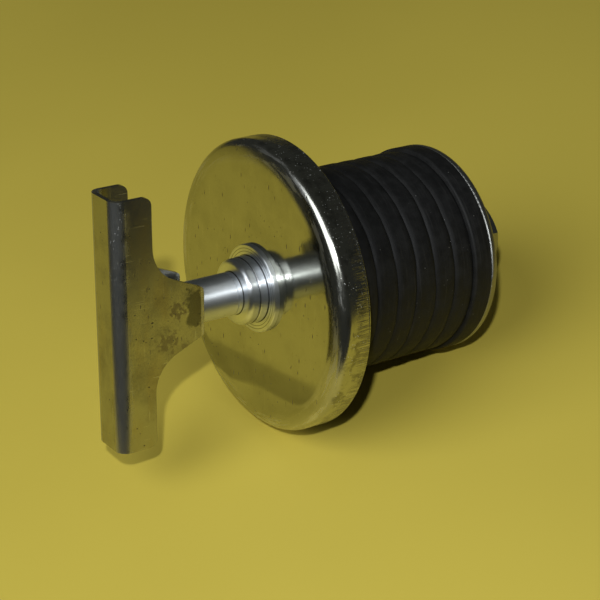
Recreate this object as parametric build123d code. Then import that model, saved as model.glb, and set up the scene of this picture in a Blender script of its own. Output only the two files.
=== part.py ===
from build123d import *
import os
from math import cos, radians, tan

# Expanding filler plug for a deck fill neck, in millimetres.
# A T-handle turns a stem that bears on a collar in the middle of the cap. The stem's thread
# draws the end plate up, and the plate squeezes a stack of rubber rings until they grip the
# neck.
#
# Origin: centre of the seat, the plane of the gasket face that lands on the neck's rim.
# +Z runs along the stem towards the handle. The handle's long side lies along X.

# ---- driving dimensions -------------------------------------------------------------------
CAP_DIAMETER = 76.2          # 3 in cover cap
CAP_HEIGHT = 8.65            # skirt edge to top face
CAP_CORNER = 2.6             # outer radius where the face turns into the skirt
CAP_SHEET = 1.4
GASKET_THICKNESS = 2.0

STEM_RADIUS = 5.55           # 7/16 in stem
RUNNING_GAP = 0.08           # radial play of the stem in its bearing ring and nut
THREAD_PITCH = 25.4 / 14     # 14 threads per inch
TIGHTENING_TURNS = 3         # from loose to gripping

RING_COUNT = 8               # ribbed rings, above one smooth end ring
RING_PITCH = 6.07
RING_RADIUS = 26.9
RING_BORE = 6.0
END_RING_RADIUS = 27.8
END_RING_THICKNESS = 5.3

PLATE_RADIUS = 27.8
PLATE_THICKNESS = 2.6

HANDLE_LENGTH = 65.3
HANDLE_WIDTH = 12.65
HANDLE_SHEET = 1.2
HANDLE_TOP = 46.8            # outer face of the web above the seat
WING_OFFSET = -0.5           # the wings sit a little off the stem, towards -X
WING_DEPTH = 10.3            # flange depth at the handle's ends
NECK_REACH = 24.35           # web face to the tip of the neck
NECK_TIP_WIDTH = 12.4
NECK_TAPER = 23.5            # degrees from the stem's axis

# ---- levels worked out from them ----------------------------------------------------------
CAP_UNDERSIDE = GASKET_THICKNESS
CAP_TOP = CAP_UNDERSIDE + CAP_SHEET
SKIRT_EDGE = CAP_TOP - CAP_HEIGHT
STACK_BOTTOM = CAP_UNDERSIDE - RING_COUNT * RING_PITCH - END_RING_THICKNESS
PLATE_BOTTOM = STACK_BOTTOM - PLATE_THICKNESS

# collar on the cap: a wide washer, a bearing ring, and a thrust collar fixed on the stem
CAP_WASHER_RADIUS, CAP_WASHER_THICKNESS = 11.5, 1.4
BEARING_RING_RADIUS, BEARING_RING_HEIGHT = 8.7, 2.5
THRUST_COLLAR_RADIUS, THRUST_COLLAR_HEIGHT = 8.6, 2.9
AXIAL_GAP = 0.06
BEARING_RING_BASE = CAP_TOP + CAP_WASHER_THICKNESS
BEARING_RING_TOP = BEARING_RING_BASE + BEARING_RING_HEIGHT
THRUST_COLLAR_BASE = BEARING_RING_TOP + AXIAL_GAP
THRUST_COLLAR_TOP = THRUST_COLLAR_BASE + THRUST_COLLAR_HEIGHT
SCORE_LINE = THRUST_COLLAR_TOP + 1.3     # fine groove turned in the stem above the collar

O_RING_SECTION_RADIUS = 0.75
O_RING_GROOVE_RADIUS, O_RING_GROOVE_WIDTH = 7.15, 1.7

# under the cap: a backing washer and a clip in the stem's groove, inside the first ring
BACKING_WASHER_RADIUS, BACKING_WASHER_THICKNESS = 10.4, 1.2
CLIP_RADIUS, CLIP_THICKNESS, CLIP_GROOVE_RADIUS = 9.2, 1.2, 4.7
CLIP_TOP = CAP_UNDERSIDE - BACKING_WASHER_THICKNESS - AXIAL_GAP
COUNTERBORE_RADIUS, COUNTERBORE_DEPTH = 11.0, 3.3

GASKET_INNER_RADIUS, GASKET_OUTER_RADIUS = 28.9, 36.4

END_WASHER_RADIUS, END_WASHER_THICKNESS = 12.0, 2.5
NUT_FLATS, NUT_HEIGHT, NUT_TURN = 19.05, 12.4, -10
NUT_TOP = PLATE_BOTTOM - END_WASHER_THICKNESS
NUT_BOTTOM = NUT_TOP - NUT_HEIGHT
STEM_TIP = NUT_BOTTOM - 1.5

# the stem's upper end is a tongue between the handle's flanges
HANDLE_BEND = 3.0
TONGUE_BASE = HANDLE_TOP - NECK_REACH
STEM_HEAD = HANDLE_TOP - HANDLE_BEND
FLANGE_INNER_FACE = HANDLE_WIDTH / 2 - HANDLE_SHEET


# ---- helpers ------------------------------------------------------------------------------
def turned(*outline):
    """Solid of revolution about Z from an (r, z) outline."""
    corners = [(r, 0, z) for r, z in outline]
    return revolve(make_face(Polyline(*corners, close=True)), Axis.Z)


def ring(inner, outer, low, high):
    """Plain ring between two radii and two levels."""
    return turned((inner, low), (outer, low), (outer, high), (inner, high))


def circles(shape, radius, level):
    """Circular edges of a turned shape at one radius and level."""
    return [
        edge
        for edge in shape.edges().filter_by(GeomType.CIRCLE)
        if abs(edge.radius - radius) < 1e-3 and abs(edge.arc_center.Z - level) < 1e-3
    ]


def rounded(shape, radius, level, size):
    return fillet(circles(shape, radius, level), size)


def write(node, shape):
    export_step(shape, f"parts/{node}.step")


# ---- handle and stem ----------------------------------------------------------------------
def make_t_handle():
    """Folded sheet channel: its two flanges are cut to a T whose necks hold the stem."""
    depth = NECK_REACH
    middle = HANDLE_TOP - depth / 2
    outside = Pos(WING_OFFSET, 0, middle) * Box(HANDLE_LENGTH, HANDLE_WIDTH, depth)
    outside = fillet(outside.edges().filter_by(Axis.X).group_by(Axis.Z)[-1], HANDLE_BEND)
    inside = Pos(WING_OFFSET, 0, middle - HANDLE_SHEET) * Box(
        HANDLE_LENGTH + 2, 2 * FLANGE_INNER_FACE, depth
    )
    inside = fillet(
        inside.edges().filter_by(Axis.X).group_by(Axis.Z)[-1], HANDLE_BEND - HANDLE_SHEET
    )
    side = extrude(handle_outline(), amount=HANDLE_WIDTH, both=True)
    return (outside - inside) & side


def handle_outline():
    """The T of the flanges, seen along Y."""
    end_corner, neck_sweep, tip_corner = 2.2, 10.3, 1.2
    ends = [WING_OFFSET + side * HANDLE_LENGTH / 2 for side in (-1, 1)]
    wing = HANDLE_TOP - WING_DEPTH
    tip = HANDLE_TOP - NECK_REACH
    neck = NECK_TIP_WIDTH / 2 + (wing - tip) * tan(radians(NECK_TAPER))
    outline_points = [(ends[0], HANDLE_TOP), (ends[1], HANDLE_TOP), (ends[1], wing)]
    outline_points += [(neck, wing), (NECK_TIP_WIDTH / 2, tip)]
    outline_points += [(-NECK_TIP_WIDTH / 2, tip), (-neck, wing), (ends[0], wing)]
    outline = make_face(Polyline(*[(x, 0, z) for x, z in outline_points], close=True))

    def corners(xs, z):
        return [
            v
            for v in outline.vertices()
            if abs(v.Z - z) < 1e-3 and any(abs(v.X - x) < 1e-3 for x in xs)
        ]

    outline = fillet(corners(ends, wing), end_corner)
    outline = fillet(corners((-neck, neck), wing), neck_sweep)
    return fillet(corners((-NECK_TIP_WIDTH / 2, NECK_TIP_WIDTH / 2), tip), tip_corner)


def make_stem():
    """Round bar with two flats that make its tongue, a groove for the clip and a score line."""
    groove_gap, score = 0.05, 0.3
    shape = turned((0, STEM_TIP), (STEM_RADIUS, STEM_TIP), (STEM_RADIUS, STEM_HEAD), (0, STEM_HEAD))
    shape = chamfer(circles(shape, STEM_RADIUS, STEM_TIP), 1.2)
    groove_low = CLIP_TOP - CLIP_THICKNESS - groove_gap
    shape -= ring(CLIP_GROOVE_RADIUS, STEM_RADIUS + 1, groove_low, CLIP_TOP + groove_gap)
    shape -= ring(STEM_RADIUS - score, STEM_RADIUS + 1, SCORE_LINE, SCORE_LINE + score)
    flat = Box(4 * STEM_RADIUS, STEM_RADIUS, STEM_HEAD - TONGUE_BASE)
    across = FLANGE_INNER_FACE + STEM_RADIUS / 2
    for side in (-1, 1):
        shape -= Pos(0, side * across, (STEM_HEAD + TONGUE_BASE) / 2) * flat
    return shape


def make_stem_welds():
    """Four beads inside the channel, where the tongue's round sides meet the flanges."""
    low, high = TONGUE_BASE + 4, STEM_HEAD - 3
    stem = Pos(0, 0, (low + high) / 2) * Cylinder(STEM_RADIUS, high - low + 2)
    beads = []
    for side_x in (-1, 1):
        for side_y in (-1, 1):
            corners = [(2.0, FLANGE_INNER_FACE), (5.6, FLANGE_INNER_FACE), (5.1, 2.3)]
            section = make_face(
                Polyline(*[(side_x * x, side_y * y, low) for x, y in corners], close=True)
            )
            bead = extrude(section, amount=high - low, dir=(0, 0, 1)) - stem
            beads.append(bead.solid())
    return Compound(beads)


def make_thrust_collar():
    """Ring fixed on the stem: it carries the stem's pull onto the bearing ring."""
    shape = ring(STEM_RADIUS, THRUST_COLLAR_RADIUS, THRUST_COLLAR_BASE, THRUST_COLLAR_TOP)
    shape = rounded(shape, THRUST_COLLAR_RADIUS, THRUST_COLLAR_TOP, 1.3)
    return rounded(shape, THRUST_COLLAR_RADIUS, THRUST_COLLAR_BASE, 0.4)


def make_retaining_clip():
    """Open ring pushed sideways into the stem's groove."""
    low = CLIP_TOP - CLIP_THICKNESS
    shape = ring(CLIP_GROOVE_RADIUS, CLIP_RADIUS, low, CLIP_TOP)
    mouth = Box(2 * CLIP_GROOVE_RADIUS, 2 * CLIP_RADIUS, 2 * CLIP_THICKNESS)
    return shape - Pos(0, -CLIP_RADIUS, low + CLIP_THICKNESS / 2) * mouth


# ---- cap and collar -----------------------------------------------------------------------
def make_cap_shell():
    outer = CAP_DIAMETER / 2
    inner = outer - CAP_SHEET
    stem_hole = STEM_RADIUS + RUNNING_GAP
    shape = turned(
        (stem_hole, CAP_UNDERSIDE),
        (inner, CAP_UNDERSIDE),
        (inner, SKIRT_EDGE),
        (outer, SKIRT_EDGE),
        (outer, CAP_TOP),
        (stem_hole, CAP_TOP),
    )
    shape = rounded(shape, outer, CAP_TOP, CAP_CORNER)
    shape = rounded(shape, inner, CAP_UNDERSIDE, CAP_CORNER - CAP_SHEET)
    return rounded(shape, outer, SKIRT_EDGE, 0.3)


def make_cap_washer():
    inner = STEM_RADIUS + 2 * RUNNING_GAP
    shape = ring(inner, CAP_WASHER_RADIUS, CAP_TOP, BEARING_RING_BASE)
    return rounded(shape, CAP_WASHER_RADIUS, BEARING_RING_BASE, 0.35)


def make_bearing_ring():
    """Ring that the thrust collar turns on, with an inside groove for the O-ring."""
    inner = STEM_RADIUS + RUNNING_GAP
    middle = (BEARING_RING_BASE + BEARING_RING_TOP) / 2
    half_groove = O_RING_GROOVE_WIDTH / 2
    shape = ring(inner, BEARING_RING_RADIUS, BEARING_RING_BASE, BEARING_RING_TOP)
    shape = rounded(shape, BEARING_RING_RADIUS, BEARING_RING_TOP, 0.5)
    shape = rounded(shape, BEARING_RING_RADIUS, BEARING_RING_BASE, 0.4)
    return shape - ring(inner - 1, O_RING_GROOVE_RADIUS, middle - half_groove, middle + half_groove)


def make_stem_o_ring():
    major = (STEM_RADIUS + O_RING_GROOVE_RADIUS) / 2
    middle = (BEARING_RING_BASE + BEARING_RING_TOP) / 2
    return Pos(0, 0, middle) * Torus(major, O_RING_SECTION_RADIUS)


def make_backing_washer():
    inner = STEM_RADIUS + 2 * RUNNING_GAP
    low = CAP_UNDERSIDE - BACKING_WASHER_THICKNESS
    return ring(inner, BACKING_WASHER_RADIUS, low, CAP_UNDERSIDE)


def make_neck_gasket():
    shape = ring(GASKET_INNER_RADIUS, GASKET_OUTER_RADIUS, 0, CAP_UNDERSIDE)
    shape = rounded(shape, GASKET_INNER_RADIUS, 0, 0.3)
    return rounded(shape, GASKET_OUTER_RADIUS, CAP_UNDERSIDE, 1.1)


# ---- rubber stack -------------------------------------------------------------------------
def make_seal_ring(index):
    """Ribbed ring. The first one has a counterbore for the backing washer and the clip."""
    crease = 0.5
    high = CAP_UNDERSIDE - index * RING_PITCH
    low = high - RING_PITCH
    middle = (high + low) / 2
    shoulder = RING_RADIUS - crease
    profile = [
        (RING_BORE, low),
        (shoulder, low),
        (RING_RADIUS, low + 1.2 * crease),
        (RING_RADIUS + 0.05, middle),
        (RING_RADIUS, high - 1.2 * crease),
        (shoulder, high),
        (RING_BORE, high),
    ]
    shape = turned(*profile)
    if index == 0:
        shape -= ring(RING_BORE - 1, COUNTERBORE_RADIUS, high - COUNTERBORE_DEPTH, high + 1)
    return shape


def make_end_seal_ring():
    high = STACK_BOTTOM + END_RING_THICKNESS
    shape = ring(RING_BORE, END_RING_RADIUS, STACK_BOTTOM, high)
    return rounded(shape, END_RING_RADIUS, high, 0.5)


# ---- end plate and nut --------------------------------------------------------------------
def make_end_plate():
    shape = ring(RING_BORE, PLATE_RADIUS, PLATE_BOTTOM, STACK_BOTTOM)
    shape = rounded(shape, PLATE_RADIUS, PLATE_BOTTOM, 2.0)
    return rounded(shape, PLATE_RADIUS, STACK_BOTTOM, 0.35)


def make_end_washer():
    shape = ring(RING_BORE, END_WASHER_RADIUS, NUT_TOP, PLATE_BOTTOM)
    return rounded(shape, END_WASHER_RADIUS, NUT_TOP, 0.35)


def make_end_nut():
    """Hexagon nut with chamfered corners. The thread is a plain bore."""
    corner_radius = NUT_FLATS / 2 / cos(radians(30))
    prism = extrude(Pos(0, 0, NUT_BOTTOM) * RegularPolygon(corner_radius, 6), amount=NUT_HEIGHT)
    slope = 1.1
    blank = turned(
        (0, NUT_BOTTOM),
        (NUT_FLATS / 2 - 0.3, NUT_BOTTOM),
        (corner_radius + 0.3, NUT_BOTTOM + slope),
        (corner_radius + 0.3, NUT_TOP),
        (0, NUT_TOP),
    )
    middle = (NUT_BOTTOM + NUT_TOP) / 2
    bore = Pos(0, 0, middle) * Cylinder(STEM_RADIUS + RUNNING_GAP, NUT_HEIGHT + 2)
    return Rot(0, 0, NUT_TURN) * ((prism & blank) - bore)


def make_nut_welds():
    """Three weld beads in the corner between the nut's flats and the washer."""
    leg, length = 2.0, 6.5
    face = NUT_FLATS / 2
    section = make_face(
        Polyline((face, 0, NUT_TOP), (face + leg, 0, NUT_TOP), (face, 0, NUT_TOP - leg), close=True)
    )
    bead = extrude(section, amount=length / 2, both=True)
    return Compound([Rot(0, 0, NUT_TURN + turn) * bead.solid() for turn in (30, 150, 270)])


# ---- write every node ---------------------------------------------------------------------
os.makedirs("parts", exist_ok=True)

write("t_handle", make_t_handle())
write("stem", make_stem())
write("stem_welds", make_stem_welds())
write("thrust_collar", make_thrust_collar())
write("retaining_clip", make_retaining_clip())

write("cap_shell", make_cap_shell())
write("cap_washer", make_cap_washer())
write("bearing_ring", make_bearing_ring())
write("stem_o_ring", make_stem_o_ring())
write("backing_washer", make_backing_washer())
write("neck_gasket", make_neck_gasket())

for index in range(RING_COUNT):
    write(f"seal_ring_{index + 1}", make_seal_ring(index))
write("end_seal_ring", make_end_seal_ring())

write("end_plate", make_end_plate())
write("end_washer", make_end_washer())
write("end_nut", make_end_nut())
write("nut_welds", make_nut_welds())

travel = TIGHTENING_TURNS * THREAD_PITCH
print(f"stack {CAP_UNDERSIDE:.2f} to {STACK_BOTTOM:.2f}, plate travel {travel:.2f}")
print(f"skirt edge {SKIRT_EDGE:.2f}, cap top {CAP_TOP:.2f}, stem tip {STEM_TIP:.2f}")
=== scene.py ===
import math

import bmesh
import bpy
from mathutils import Matrix, Vector, noise


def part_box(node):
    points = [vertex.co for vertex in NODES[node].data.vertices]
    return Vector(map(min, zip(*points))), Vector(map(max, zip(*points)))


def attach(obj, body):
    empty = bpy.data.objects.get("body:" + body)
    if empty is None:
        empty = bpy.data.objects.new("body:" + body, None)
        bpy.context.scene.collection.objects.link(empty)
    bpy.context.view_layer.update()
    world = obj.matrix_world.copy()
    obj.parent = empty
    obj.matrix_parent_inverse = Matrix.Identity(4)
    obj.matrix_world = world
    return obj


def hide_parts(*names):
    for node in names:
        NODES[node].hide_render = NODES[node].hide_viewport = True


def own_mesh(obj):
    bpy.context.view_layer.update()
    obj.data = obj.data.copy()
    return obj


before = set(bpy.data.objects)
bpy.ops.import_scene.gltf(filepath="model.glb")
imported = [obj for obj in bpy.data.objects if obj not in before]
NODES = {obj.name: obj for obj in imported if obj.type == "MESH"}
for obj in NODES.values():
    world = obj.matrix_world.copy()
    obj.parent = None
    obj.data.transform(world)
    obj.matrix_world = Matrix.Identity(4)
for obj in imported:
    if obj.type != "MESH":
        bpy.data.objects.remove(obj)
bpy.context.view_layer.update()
MM = 0.001
HANDLE_SHEET = 1.2
CAP_SHEET = 1.4


def low_high(node):
    """Lowest and highest level of a CAD node, in millimetres."""
    low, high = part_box(node)
    return low.z / MM, high.z / MM


def radius_of(node):
    """Outer radius of a turned CAD node, in millimetres."""
    low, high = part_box(node)
    return (high.x - low.x) / 2 / MM


# ---- node helpers -------------------------------------------------------------------------
class Shader:
    """One procedural material. Its coordinates are the row frame in millimetres."""

    def __init__(self, name):
        self.material = bpy.data.materials.new(name)
        self.material.use_nodes = True
        self.tree = self.material.node_tree
        self.tree.nodes.clear()
        self.bsdf = self.tree.nodes.new("ShaderNodeBsdfPrincipled")
        output = self.tree.nodes.new("ShaderNodeOutputMaterial")
        self.link(self.bsdf.outputs[0], output.inputs[0])
        place = self.tree.nodes.new("ShaderNodeTexCoord").outputs["Object"]
        self.place = self.vector("SCALE", place, 1 / MM)
        split = self.tree.nodes.new("ShaderNodeSeparateXYZ")
        self.link(self.place, split.inputs[0])
        self.x, self.y, self.z = split.outputs

    def link(self, source, target):
        self.tree.links.new(source, target)

    def feed(self, socket, value):
        """Links a socket, or sets its value if it is a number or a colour."""
        if isinstance(value, bpy.types.NodeSocket):
            self.link(value, socket)
        else:
            socket.default_value = value

    def set(self, **values):
        """Shader inputs by name, with underscores for spaces."""
        for name, value in values.items():
            if isinstance(value, tuple) and len(value) == 3:
                value = (*value, 1.0)
            self.feed(self.bsdf.inputs[name.replace("_", " ")], value)

    def vector(self, operation, a, b=None):
        node = self.tree.nodes.new("ShaderNodeVectorMath")
        node.operation = operation
        self.feed(node.inputs[0], a)
        if b is not None:
            self.feed(node.inputs["Scale" if operation == "SCALE" else 1], b)
        return node.outputs["Value" if operation == "LENGTH" else 0]

    def math(self, operation, a, b=0.0):
        node = self.tree.nodes.new("ShaderNodeMath")
        node.operation = operation
        self.feed(node.inputs[0], a)
        self.feed(node.inputs[1], b)
        return node.outputs[0]

    def stretch(self, scales, place=None):
        """Coordinates scaled differently along X, Y and Z."""
        return self.vector("MULTIPLY", place or self.place, scales)

    def polar(self, around=20.0):
        """Coordinates (radius, arc length at a given radius, z) for turned surfaces."""
        angle = self.math("MULTIPLY", self.math("ARCTAN2", self.y, self.x), around)
        join = self.tree.nodes.new("ShaderNodeCombineXYZ")
        flat = self.vector("MULTIPLY", self.place, (1, 1, 0))
        self.feed(join.inputs[0], self.vector("LENGTH", flat))
        self.feed(join.inputs[1], angle)
        self.feed(join.inputs[2], self.z)
        return join.outputs[0]

    def radius(self):
        return self.vector("LENGTH", self.vector("MULTIPLY", self.place, (1, 1, 0)))

    def noise(self, scale, detail=3.0, rough=0.55, place=None):
        node = self.tree.nodes.new("ShaderNodeTexNoise")
        self.link(place or self.place, node.inputs["Vector"])
        node.inputs["Scale"].default_value = scale
        node.inputs["Detail"].default_value = detail
        node.inputs["Roughness"].default_value = rough
        return node.outputs[0]

    def cells(self, scale, place=None):
        """Distance to the nearest of many scattered points."""
        node = self.tree.nodes.new("ShaderNodeTexVoronoi")
        self.link(place or self.place, node.inputs["Vector"])
        node.inputs["Scale"].default_value = scale
        return node.outputs["Distance"]

    def span(self, value, low, high, to_low=0.0, to_high=1.0, smooth=True):
        """Maps low..high of a value to to_low..to_high, clamped."""
        node = self.tree.nodes.new("ShaderNodeMapRange")
        node.interpolation_type = "SMOOTHSTEP" if smooth else "LINEAR"
        for socket, number in zip(node.inputs, (value, low, high, to_low, to_high)):
            self.feed(socket, number)
        return node.outputs[0]

    def band(self, value, middle, half_width, soft):
        """1 within half_width of a middle value, falling to 0 over a soft edge."""
        away = self.math("ABSOLUTE", self.math("SUBTRACT", value, middle))
        return self.span(away, half_width + soft, half_width)

    def blend(self, share, a, b):
        """Colour a at share 0, colour b at share 1."""
        node = self.tree.nodes.new("ShaderNodeMix")
        node.data_type = "RGBA"
        self.feed(node.inputs["Factor"], share)
        for socket, value in ((node.inputs[6], a), (node.inputs[7], b)):
            if isinstance(value, tuple):
                value = (*value, 1.0)
            self.feed(socket, value)
        return node.outputs[2]

    def bump(self, height, strength, distance):
        node = self.tree.nodes.new("ShaderNodeBump")
        node.inputs["Strength"].default_value = strength
        node.inputs["Distance"].default_value = distance * MM
        self.link(height, node.inputs["Height"])
        return node.outputs[0]

    def both(self, a, b):
        """Product of two masks or shares."""
        return self.math("MULTIPLY", a, b)

    def either(self, a, b):
        """Greater of two masks."""
        return self.math("MAXIMUM", a, b)


# ---- materials ----------------------------------------------------------------------------
ZINC = (0.63, 0.63, 0.59)
ZINC_DARK = (0.44, 0.44, 0.40)
# chalky white zinc, also used for the painted highlight line at the handle's neck tip
CHALK_AND_HIGHLIGHT = (0.80, 0.80, 0.77)
# dark colour: dirt in pits and nicks, and painted shade in the corners and grooves of the turned
# pieces
GRIME_AND_SHADE = (0.05, 0.045, 0.035)


class Steel(Shader):
    def __init__(self, name, rough, cloudy=0.5, light=ZINC, dark=ZINC_DARK):
        super().__init__(name)
        cloud = self.noise(0.10, 5.0, 0.62)
        fine = self.noise(1.6, 4.0, 0.6)
        self.colour = self.blend(self.both(self.span(cloud, 0.40, 0.72), cloudy), light, dark)
        self.rough = self.span(cloud, 0.3, 0.7, rough[0], rough[1])
        self.rough = self.math("ADD", self.rough, self.span(fine, 0.4, 0.75, 0.0, 0.04))
        self.metal = 1.0
        self.height = self.math("MULTIPLY", fine, 0.25)

    def mark(self, mask, colour, rough=None, depth=0.0, metal=None):
        """Colours, roughens and sinks the surface where the mask is 1."""
        self.colour = self.blend(mask, self.colour, colour)
        if rough is not None:
            self.rough = self.span(mask, 0.0, 1.0, self.rough, rough, smooth=False)
        if metal is not None:
            self.metal = self.span(mask, 0.0, 1.0, self.metal, metal, smooth=False)
        if depth:
            self.height = self.math("SUBTRACT", self.height, self.math("MULTIPLY", mask, depth))

    def hair_scratches(self, share):
        """Long fine scratches along X and along Z."""
        along_x = self.span(self.noise(1.0, 2.0, 0.5, self.stretch((0.10, 2.8, 2.8))), 0.67, 0.73)
        along_z = self.span(self.noise(1.0, 2.0, 0.5, self.stretch((2.6, 2.6, 0.12))), 0.68, 0.74)
        mask = self.math("MULTIPLY", self.either(along_x, along_z), share)
        self.mark(mask, CHALK_AND_HIGHLIGHT, 0.32, 0.5)

    def pits(self, share, scale=0.55, size=0.14):
        """Small dark pits, gathered in patches."""
        pit = self.span(self.cells(scale), size, size * 0.45)
        pit = self.both(pit, self.span(self.noise(0.16, 2.0), 0.46, 0.62))
        self.mark(self.math("MULTIPLY", pit, share), GRIME_AND_SHADE, 0.45, 1.2)

    def dashes(self, share):
        """Short dark nicks, all one way, as the rolled sheet has."""
        place = self.stretch((0.26, 1.0, 1.0))
        nick = self.span(self.cells(0.80, place), 0.19, 0.10)
        nick = self.both(nick, self.span(self.noise(0.24, 2.0, 0.5), 0.47, 0.56))
        self.mark(self.math("MULTIPLY", nick, share), (0.27, 0.25, 0.20), 0.32, 0.9)

    def flecks(self, mask, scale=1.1, size=0.20):
        """Chalky white flecks of zinc where the mask is 1."""
        ragged = self.span(self.noise(2.6, 4.0, 0.7), 0.3, 0.7, -0.5 * size, 0.5 * size)
        away = self.math("ADD", self.cells(scale), ragged)
        fleck = self.span(away, size, size * 0.4)
        self.mark(self.both(fleck, mask), CHALK_AND_HIGHLIGHT, 0.42, -0.5, 0.45)

    def spot(self, x, z, radius, ragged):
        """A ragged round mask about a point of a face that looks along Y."""
        dx = self.math("SUBTRACT", self.x, x)
        dz = self.math("SUBTRACT", self.z, z)
        away = self.math("SQRT", self.math("ADD", self.both(dx, dx), self.both(dz, dz)))
        away = self.math("ADD", away, self.span(self.noise(0.9, 3.0), 0.3, 0.7, -ragged, ragged))
        return self.span(away, radius, radius * 0.35)

    def ring_lines(self, depth=0.8):
        """Fine lathe lines round Z."""
        lines = self.noise(1.0, 3.0, 0.65, self.stretch((0.02, 0.02, 7.0)))
        flat = self.radius()
        join = self.tree.nodes.new("ShaderNodeCombineXYZ")
        self.link(self.math("MULTIPLY", flat, 7.0), join.inputs[0])
        lines = self.math("ADD", lines, self.noise(1.0, 3.0, 0.65, join.outputs[0]))
        self.height = self.math("ADD", self.height, self.math("MULTIPLY", lines, depth))
        self.rough = self.math("ADD", self.rough, self.span(lines, 0.9, 1.2, 0.0, 0.05))

    def lathe_sheen(self, strength):
        """Highlights drawn out along Z, as the lathe lines do."""
        tangent = self.tree.nodes.new("ShaderNodeTangent")
        tangent.direction_type, tangent.axis = "RADIAL", "Z"
        self.link(tangent.outputs[0], self.bsdf.inputs["Tangent"])
        self.set(Anisotropic=strength, Anisotropic_Rotation=0.25)

    def finish(self, bump_depth=0.02):
        normal = self.bump(self.height, 0.35, bump_depth)
        self.set(Base_Color=self.colour, Roughness=self.rough, Normal=normal, Metallic=self.metal)
        return self.material


def cap_material():
    """Crisp face with small nicks; dull, flecked skirt with draw marks near its edge."""
    s = Steel("plated_steel_cap", (0.07, 0.12), 0.5, (0.50, 0.50, 0.43), (0.36, 0.36, 0.30))
    s.dashes(1.0)
    s.hair_scratches(0.25)
    s.pits(0.6)
    around = s.polar(38.0)
    shoulder = s.span(s.radius(), 31.0, 36.0)
    s.mark(s.math("MULTIPLY", shoulder, 0.3), ZINC_DARK, 0.34)
    smear = s.span(s.noise(0.5, 4.0, 0.65, s.stretch((1.2, 0.14, 1.0), around)), 0.46, 0.62)
    s.mark(s.both(s.both(smear, shoulder), s.span(s.radius(), 38.0, 37.0)), ZINC, 0.34)
    skirt = s.span(s.radius(), 37.2, 37.9)
    grime = s.span(s.noise(0.35, 4.0, 0.65, around), 0.48, 0.64)
    s.mark(s.both(s.math("MULTIPLY", grime, 0.5), skirt), GRIME_AND_SHADE, 0.34)
    cluster = s.span(s.noise(0.26, 3.0, 0.6, around), 0.44, 0.58)
    s.flecks(s.both(skirt, cluster), 1.5, 0.19)
    s.flecks(s.both(skirt, s.span(s.z, -4.3, -4.9)), 1.3, 0.24)
    rim = s.span(s.z, -0.6, -2.6)
    lines = s.noise(1.0, 3.0, 0.65, s.stretch((0.0, 2.6, 0.13), around))
    draw = s.both(s.span(lines, 0.46, 0.55), s.span(s.noise(0.13, 2.0, 0.5, around), 0.36, 0.52))
    s.mark(s.both(s.math("MULTIPLY", draw, 0.9), s.both(skirt, rim)), (0.30, 0.29, 0.25), 0.32, 4.0)
    return s.finish(0.03)


# Stains where the stem is welded inside the handle: x, z, radius, share.
WELD_STAINS = ((-5.9, 32.9, 3.1, 0.5), (1.9, 29.9, 2.4, 0.6), (-8.8, 27.5, 2.2, 0.4))


def handle_material():
    """Crisp folded sheet: scuffed bends, weld stains and dark nicks on the flanges, and a painted
    reflection with a painted highlight at the neck's tip.
    """
    s = Steel("plated_steel_handle", (0.15, 0.24), 0.8, (0.42, 0.42, 0.38), (0.25, 0.245, 0.22))
    amber = s.span(s.noise(0.09, 3.0, 0.55, s.stretch((0.5, 1.6, 1.6))), 0.47, 0.64)
    s.mark(s.math("MULTIPLY", amber, 0.30), (0.42, 0.35, 0.20))
    s.hair_scratches(0.45)
    s.dashes(0.8)
    s.pits(0.9)
    # scuffed bends, with a wandering lower edge
    edge = s.span(s.noise(0.35, 4.0, 0.6, s.stretch((0.6, 1.0, 1.0))), 0.3, 0.7, -1.1, 1.1)
    level = s.math("ADD", s.z, edge)
    outward = s.span(s.math("ABSOLUTE", s.y), 2.9, 4.2)
    bend = s.both(outward, s.span(level, handle_top - 4.2, handle_top - 1.8))
    s.mark(s.math("MULTIPLY", bend, 0.6), (0.50, 0.51, 0.50), 0.40)
    scuff = s.span(s.noise(0.8, 5.0, 0.7, s.stretch((0.5, 1.3, 1.3))), 0.48, 0.60)
    s.mark(s.both(bend, s.math("MULTIPLY", scuff, 0.7)), ZINC_DARK, 0.36, 0.8)
    upper = s.span(s.x, -6.0, 22.0, 0.1, 1.0)
    s.flecks(s.both(s.both(bend, upper), s.span(s.noise(0.5, 3.0), 0.44, 0.56)), 1.9, 0.20)
    for x, z, radius, share in WELD_STAINS:
        s.mark(s.math("MULTIPLY", s.spot(x, z, radius, 1.9), share), (0.17, 0.14, 0.14), 0.30, 0.4)
    # two rows of deep nicks across the middle
    nicks = s.span(s.cells(1.0, s.stretch((0.9, 0.4, 0.45))), 0.20, 0.10)
    rows = s.either(s.band(s.x, 0.3, 0.5, 0.5), s.band(s.x, -3.9, 0.4, 0.5))
    rows = s.both(rows, s.band(s.z, 37.0, 4.0, 1.0))
    s.mark(s.both(s.math("MULTIPLY", nicks, 0.85), rows), GRIME_AND_SHADE, 0.4, 1.5)
    # painted reflection at the neck's tip: a dark patch for the cap's shaded face, and a bright
    # line of painted highlight for the cap's rim
    wave = s.span(s.noise(0.5, 4.0, 0.65), 0.3, 0.7, -0.9, 0.9)
    reflection_z = s.band(s.math("ADD", s.z, wave), 25.0, 1.5, 1.1)
    reflection_x = s.band(s.math("ADD", s.x, wave), 1.4, 4.2, 1.3)
    patch = s.both(reflection_z, reflection_x)
    s.mark(s.math("MULTIPLY", patch, 0.74), (0.10, 0.10, 0.09), 0.26)
    # painted highlight: a bright line across the neck's tip
    s.mark(s.math("MULTIPLY", s.band(s.z, 22.9, 0.25, 0.25), 0.6), CHALK_AND_HIGHLIGHT, 0.30)
    return s.finish(0.03)


# Turned pieces that sit on one another, from below: a dark line of painted shade marks each corner
# between them.
SEATS = ("cap_washer", "bearing_ring"), ("bearing_ring", "thrust_collar"), ("thrust_collar", "stem")
SHADED_WASHER_GROOVES = (9.7, 10.5)


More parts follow.
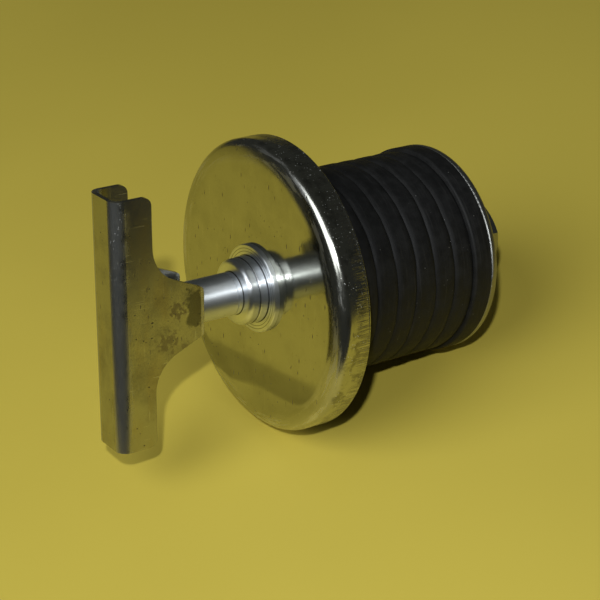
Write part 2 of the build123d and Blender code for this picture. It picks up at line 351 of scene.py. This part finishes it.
def turned_material(name, rough, lines, sheen):
    """Lathe-turned steel, with painted shade in the corners between the stacked rings and in two
    sunk rings of the washer.
    """
    s = Steel(name, rough, 0.4, (0.80, 0.83, 0.86), (0.55, 0.57, 0.58))
    s.ring_lines(lines)
    for below, above in SEATS:
        # painted shade: a dark line in the corner where one piece sits on another
        corner = s.band(s.z, low_high(below)[1], 0.14, 0.14)
        corner = s.both(corner, s.band(s.radius(), radius_of(above), 0.10, 0.16))
        s.mark(s.math("MULTIPLY", corner, 0.9), GRIME_AND_SHADE, 0.45, 0.6)
    # painted shade: dark lines in two sunk rings of the washer
    for ring in SHADED_WASHER_GROOVES:
        s.mark(s.math("MULTIPLY", s.band(s.radius(), ring, 0.05, 0.08), 0.6), GRIME_AND_SHADE, 0.45, 0.6)
    s.hair_scratches(0.15)
    s.lathe_sheen(sheen)
    return s.finish(0.015)


def end_material():
    """Stamped plate, washer and nut: duller plating with nicks."""
    s = Steel("plated_steel_end", (0.34, 0.44), 0.6, (0.36, 0.36, 0.34), (0.24, 0.24, 0.22))
    s.hair_scratches(0.4)
    s.pits(0.8)
    s.flecks(s.span(s.noise(0.4, 3.0), 0.56, 0.66), 1.2, 0.18)
    return s.finish(0.03)


def paint(node, material):
    """Gives a CAD node its material."""
    slots = NODES[node].data.materials
    slots.clear()
    slots.append(material)


def rubber(name, tone, rough):
    """Matt moulded rubber with bloom, scuffs along the rings and small pale specks."""
    s = Shader(name)
    place = s.polar(27.0)
    bloom = s.noise(0.22, 5.0, 0.65, place)
    streak = s.noise(1.0, 4.0, 0.6, s.stretch((0.6, 0.08, 1.6), place))
    colour = s.blend(s.span(bloom, 0.35, 0.7), tone, tuple(1.7 * c for c in tone))
    scuff = s.span(streak, 0.52, 0.74)
    colour = s.blend(s.math("MULTIPLY", scuff, 0.5), colour, (0.034, 0.033, 0.031))
    speck = s.span(s.cells(0.9, s.stretch((1, 0.6, 1), place)), 0.11, 0.05)
    speck = s.both(speck, s.span(s.noise(0.35, 2.0, 0.5, place), 0.57, 0.66))
    colour = s.blend(s.math("MULTIPLY", speck, 0.8), colour, (0.24, 0.24, 0.22))
    roughness = s.span(bloom, 0.3, 0.7, rough[0], rough[1])
    height = s.math("ADD", s.noise(2.5, 4.0, 0.6, place), s.math("MULTIPLY", streak, 1.2))
    s.set(
        Base_Color=colour,
        Roughness=roughness,
        Normal=s.bump(height, 0.5, 0.08),
        Specular_IOR_Level=0.25,
    )
    return s.material


handle_top = low_high("t_handle")[1]  # read by handle_material()
cap_steel = cap_material()
handle_steel = handle_material()
stem_steel = turned_material("plated_steel_stem", (0.48, 0.52), 0.5, 0.85)
collar_steel = turned_material("plated_steel_collar", (0.29, 0.34), 2.2, 0.80)
end_steel = end_material()
rubber_black = rubber("seal_rubber", (0.0095, 0.0095, 0.0092), (0.55, 0.72))

for node in ("t_handle", "stem_welds"):
    paint(node, handle_steel)
for node in ("thrust_collar", "bearing_ring", "cap_washer"):
    paint(node, collar_steel)
for node in ("end_plate", "end_washer", "end_nut", "nut_welds", "backing_washer", "retaining_clip"):
    paint(node, end_steel)
for node in ("neck_gasket", "stem_o_ring"):
    paint(node, rubber_black)


# ---- mesh helpers -------------------------------------------------------------------------
def mesh_object(name, bm, material, smooth_angle=40.0):
    """Links a finished bmesh as an object, with smooth shading up to an angle."""
    bmesh.ops.recalc_face_normals(bm, faces=bm.faces)
    for face in bm.faces:
        face.smooth = True
    for edge in bm.edges:
        if len(edge.link_faces) == 2:
            edge.smooth = edge.calc_face_angle() < math.radians(smooth_angle)
    mesh = bpy.data.meshes.new(name)
    bm.to_mesh(mesh)
    bm.free()
    mesh.materials.append(material)
    obj = bpy.data.objects.new(name, mesh)
    bpy.context.scene.collection.objects.link(obj)
    return obj


def lathe(outline, segments, place):
    """Closed ring mesh: place(r, z, angle) moves each point of an (r, z) outline."""
    bm = bmesh.new()
    rows = []
    for step in range(segments):
        angle = 2 * math.pi * step / segments
        row = []
        for r, z in outline:
            r, z = place(r, z, angle)
            row.append(bm.verts.new((r * math.cos(angle) * MM, r * math.sin(angle) * MM, z * MM)))
        rows.append(row)
    count = len(outline)
    for i in range(segments):
        a, b = rows[i], rows[(i + 1) % segments]
        for j in range(count):
            k = (j + 1) % count
            bm.faces.new((a[j], b[j], b[k], a[k]))
    return bm


# ---- cap ----------------------------------------------------------------------------------
def arc(centre, radius, first, last, steps):
    """Points (r, z) of an arc, from one tilt away from +Z to another, in degrees."""
    tilts = [math.radians(first + (last - first) * i / steps) for i in range(steps + 1)]
    return [(centre[0] + radius * math.sin(t), centre[1] + radius * math.cos(t)) for t in tilts]


def cover_cap():
    """Pressed cap: flat face, shallow shoulder, tight corner and a skirt with a burred edge."""
    edge, top = low_high("cap_shell")
    outer, sheet, bore = radius_of("cap_shell"), CAP_SHEET, 5.64
    shoulder, corner, tilt = 18.0, 2.4, 14.0  # radii, and where they meet, in degrees from flat
    corner_centre = outer - corner
    lean_in = math.radians(tilt)
    shoulder_start = corner_centre - (shoulder - corner) * math.sin(lean_in)
    shoulder_centre = (shoulder_start, top - shoulder)
    corner_level = top - shoulder + (shoulder - corner) * math.cos(lean_in)
    outside = [(bore, top)] + [(r, top) for r in range(8, 31, 2)]
    outside += arc(shoulder_centre, shoulder, 0, tilt, 10)
    outside += arc((corner_centre, corner_level), corner, tilt, 90, 16)[1:]
    outside += [(outer, corner_level - 1.2 * i) for i in range(1, 4)]
    outside += [(outer, edge + 0.75), (outer - 0.04, edge + 0.62), (outer, edge + 0.50)]
    outside += arc((outer - 0.3, edge + 0.3), 0.3, 90, 180, 5)
    inside = arc((corner_centre, corner_level), corner - sheet, 90, tilt, 6)
    inside += arc(shoulder_centre, shoulder - sheet, tilt, 0, 4)
    outline = outside + [(outer - sheet, edge)] + inside + [(bore, top - sheet)]

    def place(r, z, angle):
        around = Vector((r * math.cos(angle), r * math.sin(angle), 0))
        wave = noise.noise(around * 0.07 + Vector((5, 0, 0)))
        if r < shoulder_start:
            return r, z + 0.05 * (wave - 0.5) * min(1.0, (r - bore) / 8)
        return r + 0.05 * (noise.noise(around * 0.05 + Vector((0, 9, 0.2 * z))) - 0.5), z

    cap = mesh_object("cover_cap", lathe(outline, 360, place), cap_steel, 30)
    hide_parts("cap_shell")
    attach(cap, "cap")


# ---- stem ---------------------------------------------------------------------------------
def threaded_stem():
    """Turned bar: tongue with two flats, score line, clip groove and a threaded lower end."""
    tip, head = low_high("stem")
    radius = radius_of("stem")
    tongue_base = low_high("t_handle")[0]
    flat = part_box("t_handle")[1].y / MM - HANDLE_SHEET
    clip_low, clip_high = low_high("retaining_clip")
    groove, gap = 4.7, 0.05
    score = low_high("thrust_collar")[1] + 1.3
    cut = radius - 0.28
    pitch, depth, thread_top, chamfer = 25.4 / 14, 0.95, -46.0, 1.2
    outline = [(0, tip), (radius - chamfer, tip)]
    steps = round((thread_top - tip) / 0.15)
    outline += [(radius, tip + 0.02 + (thread_top - tip) * i / steps) for i in range(1, steps + 1)]
    outline += [(radius, -20.0), (radius, clip_low - gap), (groove, clip_low - gap)]
    outline += [(groove, clip_high + gap), (radius, clip_high + gap), (radius, 5.0)]
    outline += [(radius, score)]
    outline += [(cut, score + 0.08), (cut, score + 0.22), (radius, score + 0.3)]
    outline += [(radius, 14.0), (radius, 18.0), (radius, tongue_base - 0.02), (radius, tongue_base)]
    outline += [(radius, 33.0), (radius, head - 0.4), (radius - 0.4, head), (0, head)]

    def place(r, z, angle):
        if r < 1:
            return r, z
        if z < thread_top + 1.0 and r > radius - 0.5:
            r = min(radius - 0.02, radius - chamfer + (z - tip))
            phase = (z / pitch - angle / (2 * math.pi)) % 1
            crest = min(1.0, max(0.0, 2.5 * abs(phase - 0.5) - 0.12))
            fade = min(1.0, max(0.0, (thread_top - z) / 2.0))
            r = min(r, radius - 0.02 - depth * (1 - crest) * fade)
        if z >= tongue_base:
            r = min(r, (flat - 0.01) / max(0.01, abs(math.sin(angle))))
        return r, z

    bm = lathe(outline, 120, place)
    bmesh.ops.remove_doubles(bm, verts=bm.verts, dist=1e-7)
    stem = mesh_object("threaded_stem", bm, stem_steel, 35)
    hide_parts("stem")
    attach(stem, "handle")


cover_cap()
threaded_stem()


# ---- rubber rings -------------------------------------------------------------------------
RING_COUNT = 8
RING_BORE = 6.6


def crease(level, angle):
    """How far the crease between two rings wanders up or down, in millimetres."""
    if level in (0, RING_COUNT):
        return 0.0
    around = Vector((math.cos(angle), math.sin(angle), 0.0))
    slow = noise.noise(around * 1.7 + Vector((0, 0, 7.3 * level)))
    quick = noise.noise(around * 6.0 + Vector((3.1 * level, 0, 0)))
    return 0.42 * slow + 0.16 * quick


def rubber_ring(index):
    """Moulded ring, bulging between its creases, with slight unevenness all round."""
    node = f"seal_ring_{index}"
    low, high = low_high(node)
    radius = radius_of(node)
    half, middle = (high - low) / 2, (high + low) / 2
    fall, steps = 0.62, 18  # how far the edges draw in, and points across the profile
    outline = [(RING_BORE, low), (radius - 5.0, low)]
    for step in range(steps + 1):
        t = -math.cos(math.pi * step / steps)
        outline.append((radius + 0.08 - fall * abs(t) ** 5, middle + half * t))
    outline += [(radius - 5.0, high), (RING_BORE, high)]
    seed = 13.7 * index

    def place(r, z, angle):
        if r < radius - 2:
            return r, z
        around = Vector((math.cos(angle), math.sin(angle), 0.0))
        swell = noise.noise(around * 1.3 + Vector((seed, 0, 0))) * 0.12
        ripple = noise.noise(around * 8.0 + Vector((0, seed, z * 0.5))) * 0.05
        part = (z - low) / (high - low)
        wander = crease(index, angle) * (1 - part) + crease(index - 1, angle) * part
        return r + swell + ripple, z + wander

    ring = mesh_object(f"rubber_ring_{index}", lathe(outline, 240, place), rubber_black, 60)
    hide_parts(node)
    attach(ring, "cap")
    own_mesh(ring)


def end_ring():
    """Smooth last ring, between the ribbed ones and the end plate."""
    low, high = low_high("end_seal_ring")
    radius = radius_of("end_seal_ring")
    outline = [(RING_BORE, low), (radius - 5, low), (radius - 0.4, low)]
    outline += [(radius - 0.08, low + 0.12)]
    outline += [(radius, low + 0.5), (radius, (low + high) / 2), (radius, high - 0.6)]
    outline += [(radius - 0.1, high - 0.25), (radius - 0.5, high), (radius - 5, high)]
    outline += [(RING_BORE, high)]

    def place(r, z, angle):
        if r < radius - 2:
            return r, z
        around = Vector((math.cos(angle), math.sin(angle), 0.0))
        return r + noise.noise(around * 1.5 + Vector((71, 0, 0))) * 0.08 - 0.04, z

    ring = mesh_object("rubber_end_ring", lathe(outline, 180, place), rubber_black, 50)
    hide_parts("end_seal_ring")
    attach(ring, "cap")
    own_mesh(ring)


for ring_index in range(1, RING_COUNT + 1):
    rubber_ring(ring_index)
end_ring()


# ---- floor, light and camera --------------------------------------------------------------
def unit(azimuth, elevation):
    """Direction from azimuth (from +X towards +Y) and elevation, in degrees."""
    a, e = math.radians(azimuth), math.radians(elevation)
    return Vector((math.cos(a) * math.cos(e), math.sin(a) * math.cos(e), math.sin(e)))


# The plug lies on its side: the floor touches the cap's rim and the end plate's rim.
LIE_AZIMUTH = 169.8
PLATE_EDGE = 2.0  # height of the end plate's edge that touches, above its underside
rim_r, rim_z = radius_of("cap_shell"), low_high("cap_shell")[0]
end_r, end_z = radius_of("end_plate"), low_high("end_plate")[0] + PLATE_EDGE
lean = math.degrees(math.atan2(rim_r - end_r, rim_z - end_z))
floor_up = -unit(LIE_AZIMUTH, -lean)
touch = unit(LIE_AZIMUTH, 0) * rim_r * MM + Vector((0, 0, rim_z * MM))


# The board's corners, to the right and away as the camera sees them, from where the cap touches.
ACROSS = (0.075, -0.580, -0.811)
BOARD = ((-66, -70), (100, -114), (330, -122), (330, 1000), (-1000, 1000), (-1000, 430))


def floor_material():
    """Plain coated board, seen from above only: from below it is clear."""
    s = Shader("floor_board")
    patch = s.noise(0.006, 3.0, 0.5)
    grain = s.noise(1.2, 3.0, 0.6)
    colour = s.blend(s.span(patch, 0.3, 0.7), (0.76, 0.60, 0.088), (0.82, 0.65, 0.098))
    s.set(
        Base_Color=colour,
        Roughness=s.span(grain, 0.3, 0.7, 0.50, 0.58),
        Specular_IOR_Level=0.3,
        Normal=s.bump(grain, 0.08, 0.05),
    )
    clear = s.tree.nodes.new("ShaderNodeBsdfTransparent")
    side = s.tree.nodes.new("ShaderNodeNewGeometry").outputs["Backfacing"]
    mix = s.tree.nodes.new("ShaderNodeMixShader")
    s.link(side, mix.inputs[0])
    s.link(s.bsdf.outputs[0], mix.inputs[1])
    s.link(clear.outputs[0], mix.inputs[2])
    output = next(n for n in s.tree.nodes if n.type == "OUTPUT_MATERIAL")
    s.link(mix.outputs[0], output.inputs[0])
    return s.material


def add_floor():
    """A board that ends a little in front of the plug, so that the dark room shows in the steel."""
    across = Vector(ACROSS)
    across = (across - across.dot(floor_up) * floor_up).normalized()
    away = floor_up.cross(across)
    bm = bmesh.new()
    bm.faces.new([bm.verts.new(touch + (across * u + away * v) * MM) for u, v in BOARD])
    bmesh.ops.recalc_face_normals(bm, faces=bm.faces)
    if bm.faces[:][0].normal.dot(floor_up) < 0:
        bmesh.ops.reverse_faces(bm, faces=bm.faces)
    mesh = bpy.data.meshes.new("floor")
    bm.to_mesh(mesh)
    bm.free()
    mesh.materials.append(floor_material())
    floor = bpy.data.objects.new("floor", mesh)
    bpy.context.scene.collection.objects.link(floor)


COOL_WHITE = (0.93, 0.97, 1.0)
LENS = 104.94
CAMERA_PLACE = (162.9, -348.29, 229.13)
CAMERA_AIM = (-3.581, -6.117, -6.356)
CAMERA_ROLL = -103.987


def add_light(name, direction, distance, size, power):
    """A round area light that looks at the origin. Distance and size are in metres."""
    data = bpy.data.lights.new(name, "AREA")
    data.shape = "DISK"
    data.size = size
    data.energy = power
    data.color = COOL_WHITE
    light = bpy.data.objects.new(name, data)
    light.location = direction * distance
    light.rotation_mode = "QUATERNION"
    light.rotation_quaternion = direction.to_track_quat("Z", "Y")
    bpy.context.scene.collection.objects.link(light)


def add_world():
    """Dim even light from all round, which is what the steel mirrors past the board."""
    world = bpy.data.worlds.new("studio")
    world.use_nodes = True
    background = world.node_tree.nodes["Background"]
    background.inputs[0].default_value = (0.90, 0.94, 0.84, 1)
    background.inputs[1].default_value = 0.034
    bpy.context.scene.world = world


def add_camera():
    """The camera that was fitted to the outlines of the cap, rubber and handle."""
    data = bpy.data.cameras.new("camera")
    data.sensor_width = 36.0
    data.lens = LENS
    data.clip_start, data.clip_end = 0.01, 10.0
    camera = bpy.data.objects.new("camera", data)
    location = Vector(CAMERA_PLACE) * MM
    target = Vector(CAMERA_AIM) * MM
    roll = math.radians(CAMERA_ROLL)
    aim = (target - location).to_track_quat("-Z", "Y").to_matrix().to_4x4()
    camera.matrix_world = Matrix.Translation(location) @ aim @ Matrix.Rotation(roll, 4, "Z")
    bpy.context.scene.collection.objects.link(camera)
    bpy.context.scene.camera = camera


add_floor()
add_world()
add_light("key", unit(-55.3, 31.0), 0.56, 0.018, 1.24)
add_light("softbox", unit(-24, 58), 1.25, 1.0, 7.9)
add_camera()
bpy.context.scene.view_settings.view_transform = "Standard"
